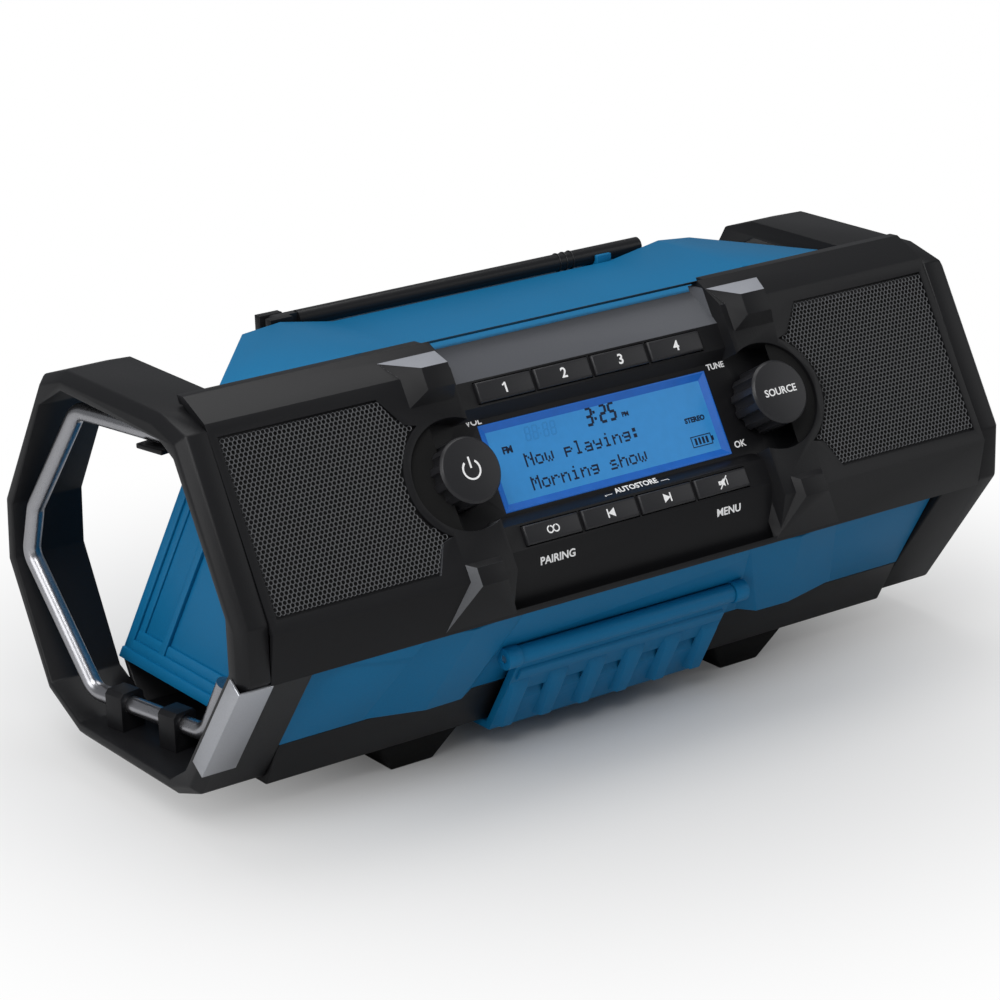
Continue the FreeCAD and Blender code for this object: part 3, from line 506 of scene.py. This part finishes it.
def arc(x, up, out, radius, thick, opening):
    """A flat printed ring with a gap at its top."""
    bpy.ops.mesh.primitive_circle_add(vertices=48, radius=radius * MM, fill_type="NOTHING",
                                      location=(0, 0, 0))
    piece = bpy.context.object
    pick(piece)
    bpy.ops.object.mode_set(mode="EDIT")
    shape = bmesh.from_edit_mesh(piece.data)
    bpy.ops.mesh.select_mode(type="VERT")
    bpy.ops.mesh.select_all(action="DESELECT")
    half = math.radians(opening / 2)
    for vertex in shape.verts:
        vertex.select = abs(math.atan2(vertex.co.x, vertex.co.y)) < half
    bmesh.update_edit_mesh(piece.data)
    bpy.ops.mesh.delete(type="VERT")
    bpy.ops.mesh.select_all(action="SELECT")
    bpy.ops.mesh.extrude_edges_move()
    bpy.ops.transform.resize(value=((radius - thick) / radius,) * 3)
    bpy.ops.object.mode_set(mode="OBJECT")
    add_modifier(piece, "SOLIDIFY", thickness=PRINT_DEPTH * MM)
    piece.location = (x * MM, up * MM, out * MM)
    bpy.ops.object.transform_apply(location=True, rotation=True, scale=True)
    return piece


BUTTON_PITCH = 26.2
BUTTON_TOP = 113.92
UPPER_MARK_UP = 98.6
LOWER_MARK_UP = 44.3
KNOB_MARK_OUT = KNOB_FACE + 0.85
AUTOSTORE_X = 3.8
LEDGE_LEAN = -51.0
SLOPE_LEAN = 28.7
WORD_LEAN = LEDGE_LEAN + 18
# Each word with its x, up, out, size and lean.
WORDS = {
    "volume_word": ("VOL", -53.8, 89.6, 108.0, 3.6, 0.0),
    "tune_word": ("TUNE", 58.0, 88.6, 108.0, 3.2, 0.0),
    "ok_word": ("OK", 57.2, 57.4, 108.0, 3.6, 0.0),
    "pairing_word": ("PAIRING", -38.6, 34.2, 109.8, 4.2, SLOPE_LEAN),
    "menu_word": ("MENU", 40.9, 34.0, 109.7, 4.2, SLOPE_LEAN),
    "autostore_word": ("AUTOSTORE", AUTOSTORE_X, 51.9, 110.3, 3.4, WORD_LEAN),
}


def button_x(index):
    return (index - 1.5) * BUTTON_PITCH


class RADIO_OT_labels(bpy.types.Operator):
    """Print the numbers, words and symbols on the panel, buttons and knobs"""
    bl_idname = "radio.labels"
    bl_label = "Printed labels"

    def execute(self, context):
        # White print with a painted glow.
        ink = finishes()["ink"]
        x = button_x(0)
        one = [bar(x, UPPER_MARK_UP, BUTTON_TOP, 0.75, 3.9),
               bar(x - 0.62, UPPER_MARK_UP + 1.3, BUTTON_TOP, 1.5, 0.6, 35)]
        settle(join(one), "preset_mark_1", "preset_button_1", ink, panel=True)
        for index in range(1, 4):
            lettering(str(index + 1), button_x(index), UPPER_MARK_UP, BUTTON_TOP, 5.4, ink,
                      f"preset_mark_{index + 1}", f"preset_button_{index + 1}", 0.02)
        for name, (text, x, up, out, size, lean) in WORDS.items():
            lettering(text, x, up, out, size, ink, name, bold=0.022, lean=lean)
        for side in (-1, 1):
            rule = [bar(0, 0, 0, 3.4, 0.3), bar(side * 1.6, -0.4, 0, 0.3, 1.0)]
            piece = join(rule)
            piece.rotation_euler.x = math.radians(LEDGE_LEAN)
            piece.location = ((AUTOSTORE_X + side * 13.0) * MM, 51.3 * MM, 110.4 * MM)
            settle(piece, f"autostore_rule_{side + 1}", "root", ink, panel=True)
        self.buttons(ink)
        lettering("SOURCE", KNOB_X, KNOB_UP, KNOB_MARK_OUT, 4.0, ink, "source_word", "tune_dial",
                  0.015)
        parts = [arc(-KNOB_X, KNOB_UP, KNOB_MARK_OUT, 3.9, 0.75, 70),
                 bar(-KNOB_X, KNOB_UP + 2.6, KNOB_MARK_OUT, 0.75, 4.2)]
        settle(join(parts), "power_mark", "volume_dial", ink, panel=True)
        return {"FINISHED"}

    def buttons(self, ink):
        """The signs of the lower row: linked rings, back, ahead and a muted horn."""
        up, out = LOWER_MARK_UP, BUTTON_TOP
        signs = {
            "pairing": lambda x: [arc(x - 1.3, up, out, 1.5, 0.5, 8), arc(x + 1.3, up, out, 1.5, 0.5, 8)],
            "previous": lambda x: [triangle(x + 0.7, up, out, 2.0, 90), bar(x - 1.4, up, out, 0.6, 3.4)],
            "next": lambda x: [triangle(x - 0.7, up, out, 2.0, -90), bar(x + 1.4, up, out, 0.6, 3.4)],
            "mute": lambda x: [bar(x - 1.4, up, out, 1.1, 1.5), triangle(x, up, out, 1.7, 90),
                               bar(x + 0.3, up, out + 0.01, 0.45, 6.2, -42), bar(x + 2.0, up, out, 0.4, 2.6)],
        }
        for index, (name, draw) in enumerate(signs.items()):
            settle(join(draw(button_x(index))), f"{name}_mark", f"{name}_button", ink,
                   panel=True)


# Rows of each dot-matrix letter from the top, one bit for each dot.
DOTS = {
    "N": (17, 25, 21, 19, 17, 17, 17), "o": (0, 0, 14, 17, 17, 17, 14), "w": (0, 0, 17, 17, 21, 21, 10),
    "p": (0, 0, 30, 17, 30, 16, 16), "l": (12, 4, 4, 4, 4, 4, 14), "a": (0, 0, 14, 1, 15, 17, 15),
    "y": (0, 0, 17, 17, 15, 1, 14), "i": (4, 0, 12, 4, 4, 4, 14), "n": (0, 0, 22, 25, 17, 17, 17),
    "g": (0, 0, 15, 17, 15, 1, 14), ":": (0, 12, 12, 0, 12, 12, 0), "M": (17, 27, 21, 21, 17, 17, 17),
    "r": (0, 0, 22, 25, 16, 16, 16), "s": (0, 0, 14, 16, 14, 1, 30), "h": (16, 16, 22, 25, 17, 17, 17),
    " ": (0, 0, 0, 0, 0, 0, 0),
}
SEGMENTS = {"3": "abcdg", "2": "abdeg", "5": "acdfg", "8": "abcdefg"}
DOTS_WIDE = 5
DOTS_TALL = 7
DOT = 0.74
GLASS_HALF = 52.3
GLASS_LOW = 54.7
GLASS_HIGH = 87.9
GLASS_SINK = 3.0
GLASS_THICKNESS = 2.9
RIM_WIDTH = 2.4
RIM_DEPTH = 1.5


class RADIO_OT_display(bpy.types.Operator):
    """Build the lit display with its bevelled rim and what it shows"""
    bl_idname = "radio.display"
    bl_label = "Display"

    def execute(self, context):
        made = finishes()
        seat = FLOOR_OUT - GLASS_SINK
        middle, tall = (GLASS_LOW + GLASS_HIGH) / 2, GLASS_HIGH - GLASS_LOW
        centre = seat + GLASS_THICKNESS / 2
        bpy.ops.mesh.primitive_cube_add(size=1, location=(0, middle * MM, centre * MM))
        piece = context.object
        piece.scale = (2 * GLASS_HALF * MM, tall * MM, GLASS_THICKNESS * MM)
        pick(piece)
        bpy.ops.object.transform_apply(location=True, rotation=True, scale=True)
        bpy.ops.object.mode_set(mode="EDIT")
        bpy.ops.mesh.select_mode(type="FACE")
        bpy.ops.mesh.select_all(action="DESELECT")
        shape = bmesh.from_edit_mesh(piece.data)
        for face in shape.faces:
            face.select = face.normal.z > 0.9
        bmesh.update_edit_mesh(piece.data)
        bpy.ops.mesh.inset(thickness=0.5 * MM)
        bpy.ops.mesh.inset(thickness=RIM_WIDTH * MM, depth=-RIM_DEPTH * MM)
        bpy.ops.object.mode_set(mode="OBJECT")
        piece.data.materials.clear()
        piece.data.materials.append(made["glow"])
        piece.data.materials.append(made["screen"])
        for face in piece.data.polygons:
            if face.normal.z > 0.99 and face.area > GLASS_HALF * tall * MM * MM:
                face.material_index = 1
        settle(piece, "display_glass", "root", None, panel=True)
        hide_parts("display_window")
        self.readout(made, centre)
        return {"FINISHED"}

    def readout(self, made, out):
        """All that the lit screen shows."""
        ink, faint = made["lcd_ink"], made["lcd_faint"]
        words = [("PM", 12.4, 79.4, 2.4, "clock_half"), ("FM", -42.4, 77.0, 3.6, "band_word"),
                 ("STEREO", 42.0, 71.0, 2.7, "stereo_word")]
        for text, x, up, size, name in words:
            lettering(text, x, up, out, size, ink, name, "root", 0.045)
        self.dotted("Now playing:", -36.6, 69.2, out, ink, "song_line_one")
        self.dotted("Morning show", -37.0, 60.3, out, ink, "song_line_two")
        self.segmented("3:25", -5.2, 78.6, out, 6.2, ink, "clock_digits", 0.17)
        self.segmented("88:88", -33.0, 78.6, out - 0.01, 5.0, faint, "ghost_digits", 0.13)
        cells = [bar(39.3 + 1.75 * index, 62.6, out, 1.0, 2.6) for index in range(4)]
        case = [bar(42.0, 64.6, out, 9.2, 0.35), bar(42.0, 60.6, out, 9.2, 0.35),
                bar(37.4, 62.6, out, 0.35, 4.3), bar(46.6, 62.6, out, 0.35, 4.3),
                bar(47.2, 62.6, out, 0.9, 1.8)]
        settle(join(cells + case), "battery_mark", "root", ink, panel=True)

    def dotted(self, text, left, low, out, ink, name):
        """A line of dot-matrix letters, cut from one fine grid."""
        columns = (DOTS_WIDE + 1) * len(text)
        width, height = columns * DOT, DOTS_TALL * DOT
        bpy.ops.mesh.primitive_grid_add(x_subdivisions=columns, y_subdivisions=DOTS_TALL, size=1)
        piece = bpy.context.object
        piece.scale = (width * MM, height * MM, 1)
        piece.location = ((left + width / 2) * MM, (low + height / 2) * MM, out * MM)
        pick(piece)
        bpy.ops.object.transform_apply(location=True, rotation=True, scale=True)
        bpy.ops.object.mode_set(mode="EDIT")
        bpy.ops.mesh.select_mode(type="FACE")
        bpy.ops.mesh.select_all(action="DESELECT")
        shape = bmesh.from_edit_mesh(piece.data)
        for face in shape.faces:
            spot = face.calc_center_median() / MM
            column = int((spot.x - left) / DOT)
            row = DOTS_TALL - 1 - int((spot.y - low) / DOT)
            letter, place = divmod(column, DOTS_WIDE + 1)
            lit = place < DOTS_WIDE and DOTS[text[letter]][row] >> (DOTS_WIDE - 1 - place) & 1
            face.select = not lit
        bmesh.update_edit_mesh(piece.data)
        bpy.ops.mesh.delete(type="FACE")
        bpy.ops.mesh.select_all(action="SELECT")
        bpy.ops.mesh.inset(use_individual=True, thickness=0.02 * MM)
        bpy.ops.object.mode_set(mode="OBJECT")
        settle(piece, name, "root", ink, panel=True)

    def segmented(self, text, left, low, out, height, material, name, weight):
        """Slanted seven-segment digits."""
        width, thick, slant = height * 0.40, height * weight, 0.12
        half = height / 2
        parts = []
        x = left
        for sign in text:
            if sign == ":":
                parts += [bar(x + 0.1, low + half * share, out, thick, thick) for share in (0.6, 1.4)]
                x += thick * 2.2
                continue
            strokes = {"a": (width / 2, height, 0), "g": (width / 2, half, 0), "d": (width / 2, 0, 0),
                       "b": (width, half * 1.5, 1), "c": (width, half / 2, 1), "f": (0, half * 1.5, 1),
                       "e": (0, half / 2, 1)}
            for letter in SEGMENTS[sign]:
                dx, dy, upright = strokes[letter]
                size = (thick, half - thick * 0.5) if upright else (width - thick * 0.2, thick)
                tip = -math.degrees(slant) if upright else 0
                parts.append(bar(x + dx + dy * slant, low + dy, out, *size, tip))
            x += width + height * 0.27
        settle(join(parts), name, "root", material, panel=True)


END_LEAN = 0.04
END_LOW = 32.0
END_X = 146.0
FLANK_Y = 58.0
FLANK_SLOPE = 0.625
RIB_LOW, RIB_HIGH = 33.0, 126.0
RIB_FRONT = -30.0
# Steps along the foot, each with its low and high edge and its rise.
FOOT_STEPS = ((33.0, 38.0, 2.6), (38.0, 42.5, 1.7), (42.5, 47.0, 0.9))
# Steps along the flank, each with its near and far distance from the flank's edge and its rise.
FLANK_STEPS = ((1.0, 6.0, 1.7), (6.0, 10.0, 0.8), (24.0, 28.0, 1.6))


def wall_x(height):
    """How far out the housing's end wall stands at a height."""
    return END_X - END_LEAN * (height - END_LOW)


def flank_y(height):
    """Depth at which the end wall meets the slanting flank behind it."""
    return FLANK_Y - FLANK_SLOPE * (height - END_LOW)


class RADIO_OT_end_ribs(bpy.types.Operator):
    """Raise the stepped frames on both end walls of the housing"""
    bl_idname = "radio.end_ribs"
    bl_label = "End wall ribs"

    def execute(self, context):
        blue = finishes()["blue"]
        for hand, side in SIDES.items():
            bars = []
            for low, high, rise in FOOT_STEPS:
                rear = (flank_y(low) - 1, flank_y(high) - 1)
                bars.append(self.bar(side, low, high, (RIB_FRONT, RIB_FRONT), rear, rise))
            for near, far, rise in FLANK_STEPS:
                ends = [tuple(flank_y(height) - offset for height in (RIB_LOW, RIB_HIGH))
                        for offset in (far, near)]
                bars.append(self.bar(side, RIB_LOW, RIB_HIGH, *ends, rise))
            piece = join(bars)
            bevel(piece, 0.3 * MM, 2)
            smooth(piece, 30)
            settle(piece, f"{hand}_end_ribs", "root", blue)
        return {"FINISHED"}

    def bar(self, side, low, high, front, rear, rise):
        """A ridge between two heights, given by its front and rear depth at its foot and its head."""
        points = []
        for height, depths in ((low, (front[0], rear[0])), (high, (front[1], rear[1]))):
            for depth in depths:
                for lift in (-0.4, rise):
                    points.append((side * (wall_x(height) + lift), depth, height))
        return faceted(points)


# Top and bottom of the door and of the strip above it, as depth and height.
DOOR_TOP = (-68.5, 44.0)
DOOR_BOTTOM = (-47.7, 10.7)
STRIP_TOP = (-77.9, 67.7)
STRIP_BOTTOM = (-54.8, 32.0)
DOOR_RIB_COUNT = 6
DOOR_RIB_PITCH = 18.0
DOOR_RIB_START = 13.0


def slope_frame(top, bottom):
    """Frame lying on a front slope: X along the radio, Y down the slope and Z outward."""
    run = Vector((0, bottom[0] - top[0], bottom[1] - top[1]))
    length = run.length
    down = run.normalized()
    across = Vector((-1, 0, 0))
    out = across.cross(down)
    turn = Matrix((across, down, out)).transposed().to_4x4()
    turn.translation = Vector((0, top[0], top[1])) * MM
    return turn, length


def faceted(points):
    """Closed hull round a few points given in millimetres."""
    mesh = bpy.data.meshes.new("facets")
    piece = bpy.data.objects.new("facets", mesh)
    bpy.context.scene.collection.objects.link(piece)
    shape = bmesh.new()
    for point in points:
        shape.verts.new(Vector(point) * MM)
    bmesh.ops.convex_hull(shape, input=shape.verts)
    bmesh.ops.recalc_face_normals(shape, faces=shape.faces)
    shape.to_mesh(mesh)
    shape.free()
    return piece


class RADIO_OT_lower_front(bpy.types.Operator):
    """Shape the door's grip ribs and the blue shoulders that run down to the feet"""
    bl_idname = "radio.lower_front"
    bl_label = "Door ribs and shoulders"

    def execute(self, context):
        blue = finishes()["blue"]
        self.door(blue)
        self.shoulders(blue)
        return {"FINISHED"}

    def door(self, blue):
        """Grip ribs, the band above them and the bed of the scoops between them."""
        place, length = slope_frame(DOOR_TOP, DOOR_BOTTOM)
        ribs = []
        for index in range(DOOR_RIB_COUNT):
            x = DOOR_RIB_PITCH * (index - (DOOR_RIB_COUNT - 1) / 2)
            low, high = DOOR_RIB_START, length - 1.0
            base = [(x + half, depth, -0.3) for depth in (low, high) for half in (-4.6, 4.6)]
            top = [(x - 3.4, low + 3, 1.4), (x + 3.4, low + 3, 1.4), (x - 2.2, high - 1, 3.0),
                   (x + 2.2, high - 1, 3.0)]
            ribs.append(faceted(base + top))
        piece = join(ribs)
        bevel(piece, 0.5 * MM, 2)
        smooth(piece)
        piece.matrix_world = place
        settle(piece, "door_grip_ribs", "door", blue)
        band = faceted([(x, depth, out) for x in (-48.0, 48.0)
                        for depth, out in ((5.5, -0.3), (12.5, -0.3), (6.5, 1.2), (11.0, 1.2))])
        bevel(band, 0.4 * MM, 2)
        smooth(band)
        band.matrix_world = place
        settle(band, "door_upper_band", "door", blue)
        bed = faceted([(x, depth, out) for x in (-46.0, 46.0) for depth in (14.0, 33.0)
                       for out in (-2.8, -2.0)])
        bed.matrix_world = place
        settle(bed, "door_scoop_bed", "door", blue)

    def shoulders(self, blue):
        """Blue facets that run down to the feet on both sides of the door."""
        place, length = slope_frame(STRIP_TOP, STRIP_BOTTOM)
        for hand, side in SIDES.items():
            ring = [(52.0, 0.6), (96.0, 0.6), (112.0, length - 0.4), (62.0, length - 0.4)]
            points = [(-side * x, depth, -0.2) for x, depth in ring]
            points += [(-side * 76.0, 1.2, 2.2), (-side * 86.0, length - 1.0, 4.2),
                       (-side * 70.0, length - 1.0, 4.0)]
            piece = faceted(points)
            bevel(piece, 0.35 * MM, 2, 6)
            smooth(piece, 12)
            piece.matrix_world = place
            settle(piece, f"{hand}_shoulder", "root", blue)


RING_COUNT = 3
RING_X = 44
RING_PITCH = 3.2
RING_RADIUS = 3.45


class RADIO_OT_antenna(bpy.types.Operator):
    """Add the grip rings of the folded antenna"""
    bl_idname = "radio.antenna_rings"
    bl_label = "Antenna rings"

    def execute(self, context):
        made = finishes()
        low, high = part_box("antenna_rod")
        middle = [(low[axis] + high[axis]) / 2 for axis in (1, 2)]
        rings = []
        for index in range(RING_COUNT):
            bpy.ops.mesh.primitive_torus_add(major_radius=RING_RADIUS * MM, minor_radius=0.35 * MM,
                                             major_segments=40, minor_segments=10,
                                             location=((RING_X + RING_PITCH * index) * MM, *middle),
                                             rotation=(0, math.pi / 2, 0))
            rings.append(context.object)
        piece = join(rings)
        smooth(piece)
        settle(piece, "antenna_grip_rings", "antenna", made["rod"])
        return {"FINISHED"}


FLOOR_SIZE = 8
# Where the floor's paint starts and ends its fade to plain white, in metres from the middle.
FADE_START, FADE_END = 0.03, 0.34
# Each soft box with its place, size and power; all point at AIM.
LAMPS = {
    "key_box": ((-0.7, -0.6, 1.1), 0.7, 8.5),
    "top_box": ((0.1, 0.25, 1.3), 0.9, 6.0),
    "left_box": ((-1.3, -0.2, 0.5), 0.8, 5.0),
    "right_box": ((1.2, -0.8, 0.7), 0.8, 2.0),
}
AIM = Vector((0, 0, 0.08))
CAMERA_PLACE = (-0.6948, -0.9860, 0.4896)
# Azimuth, downward elevation and roll of the camera in degrees.
CAMERA_ANGLES = (34.83, 18.88, -1.976)


class RADIO_OT_stage(bpy.types.Operator):
    """Lay the floor, hang the soft lights and set the camera"""
    bl_idname = "radio.stage"
    bl_label = "Stage"

    def execute(self, context):
        bpy.ops.mesh.primitive_plane_add(size=FLOOR_SIZE, location=(0, 0, 0))
        floor = context.object
        floor.name = "floor"
        floor.data.materials.append(self.floor_paint())
        self.light(context)
        self.camera(context)
        context.scene.view_settings.view_transform = "Standard"
        return {"FINISHED"}

    def light(self, context):
        """A dim world that the camera sees as plain white, and four soft boxes."""
        world = bpy.data.worlds.new("studio")
        context.scene.world = world
        world.use_nodes = True
        nodes, links = world.node_tree.nodes, world.node_tree.links
        background = nodes["Background"]
        background.inputs["Color"].default_value = (0.80, 0.82, 0.85, 1)
        background.inputs["Strength"].default_value = 0.27
        plain = nodes.new("ShaderNodeBackground")
        plain.inputs["Color"].default_value = (1, 1, 1, 1)
        path = nodes.new("ShaderNodeLightPath")
        mix = nodes.new("ShaderNodeMixShader")
        links.new(path.outputs["Is Camera Ray"], mix.inputs["Fac"])
        links.new(background.outputs[0], mix.inputs[1])
        links.new(plain.outputs[0], mix.inputs[2])
        links.new(mix.outputs[0], nodes["World Output"].inputs["Surface"])
        for name, (place, size, power) in LAMPS.items():
            bpy.ops.object.light_add(type="AREA", location=place)
            lamp = context.object
            lamp.name = name
            lamp.data.size = size
            lamp.data.energy = power
            lamp.rotation_euler = (AIM - Vector(place)).to_track_quat("-Z", "Y").to_euler()

    def floor_paint(self):
        """White floor that keeps its shadows near the radio and clears to plain white further off."""
        material = bpy.data.materials.new("floor_white")
        material.use_nodes = True
        nodes, links = material.node_tree.nodes, material.node_tree.links
        shader = nodes["Principled BSDF"]
        shader.inputs["Base Color"].default_value = (0.66, 0.66, 0.66, 1)
        shader.inputs["Roughness"].default_value = 0.9
        place = nodes.new("ShaderNodeTexCoord")
        reach = nodes.new("ShaderNodeVectorMath")
        reach.operation = "LENGTH"
        fade = nodes.new("ShaderNodeMapRange")
        fade.interpolation_type = "SMOOTHSTEP"
        fade.inputs["From Min"].default_value = FADE_START
        fade.inputs["From Max"].default_value = FADE_END
        glow = nodes.new("ShaderNodeEmission")
        path = nodes.new("ShaderNodeLightPath")
        seen = nodes.new("ShaderNodeMath")
        seen.operation = "MULTIPLY"
        mix = nodes.new("ShaderNodeMixShader")
        links.new(place.outputs["Object"], reach.inputs[0])
        links.new(reach.outputs["Value"], fade.inputs["Value"])
        links.new(fade.outputs["Result"], seen.inputs[0])
        links.new(path.outputs["Is Camera Ray"], seen.inputs[1])
        links.new(seen.outputs[0], mix.inputs["Fac"])
        links.new(shader.outputs[0], mix.inputs[1])
        links.new(glow.outputs[0], mix.inputs[2])
        links.new(mix.outputs[0], nodes["Material Output"].inputs["Surface"])
        return material

    def camera(self, context):
        """The camera, placed as the photograph's was."""
        azimuth, elevation, roll = (math.radians(angle) for angle in CAMERA_ANGLES)
        bpy.ops.object.camera_add(location=CAMERA_PLACE)
        camera = context.object
        forward = Vector((math.sin(azimuth) * math.cos(elevation), math.cos(azimuth) * math.cos(elevation),
                          -math.sin(elevation)))
        turn = forward.to_track_quat("-Z", "Y").to_matrix().to_4x4() @ Matrix.Rotation(roll, 4, "Z")
        camera.rotation_euler = turn.to_euler()
        camera.data.lens = settings().lens
        camera.data.sensor_width = 36
        camera.data.clip_start = 0.05
        context.scene.camera = camera


class RADIO_PT_panel(bpy.types.Panel):
    """Buttons that dress the radio, in their order"""
    bl_label = "Jobsite radio"
    bl_idname = "RADIO_PT_panel"
    bl_space_type = "VIEW_3D"
    bl_region_type = "UI"
    bl_category = "Radio"

    def draw(self, context):
        for step in STEPS:
            self.layout.operator(step.bl_idname)


STEPS = (RADIO_OT_finish_nodes, RADIO_OT_speaker_mesh, RADIO_OT_display, RADIO_OT_labels,
         RADIO_OT_lower_front, RADIO_OT_antenna, RADIO_OT_end_ribs, RADIO_OT_stage)
CLASSES = (RadioSettings, *STEPS, RADIO_PT_panel)


def register():
    for item in CLASSES:
        bpy.utils.register_class(item)
    bpy.types.Scene.radio_settings = bpy.props.PointerProperty(type=RadioSettings)


def unregister():
    del bpy.types.Scene.radio_settings
    for item in reversed(CLASSES):
        bpy.utils.unregister_class(item)


def main():
    register()
    for step in STEPS:
        group, name = step.bl_idname.split(".")
        getattr(getattr(bpy.ops, group), name)()


if __name__ == "__main__":
    main()
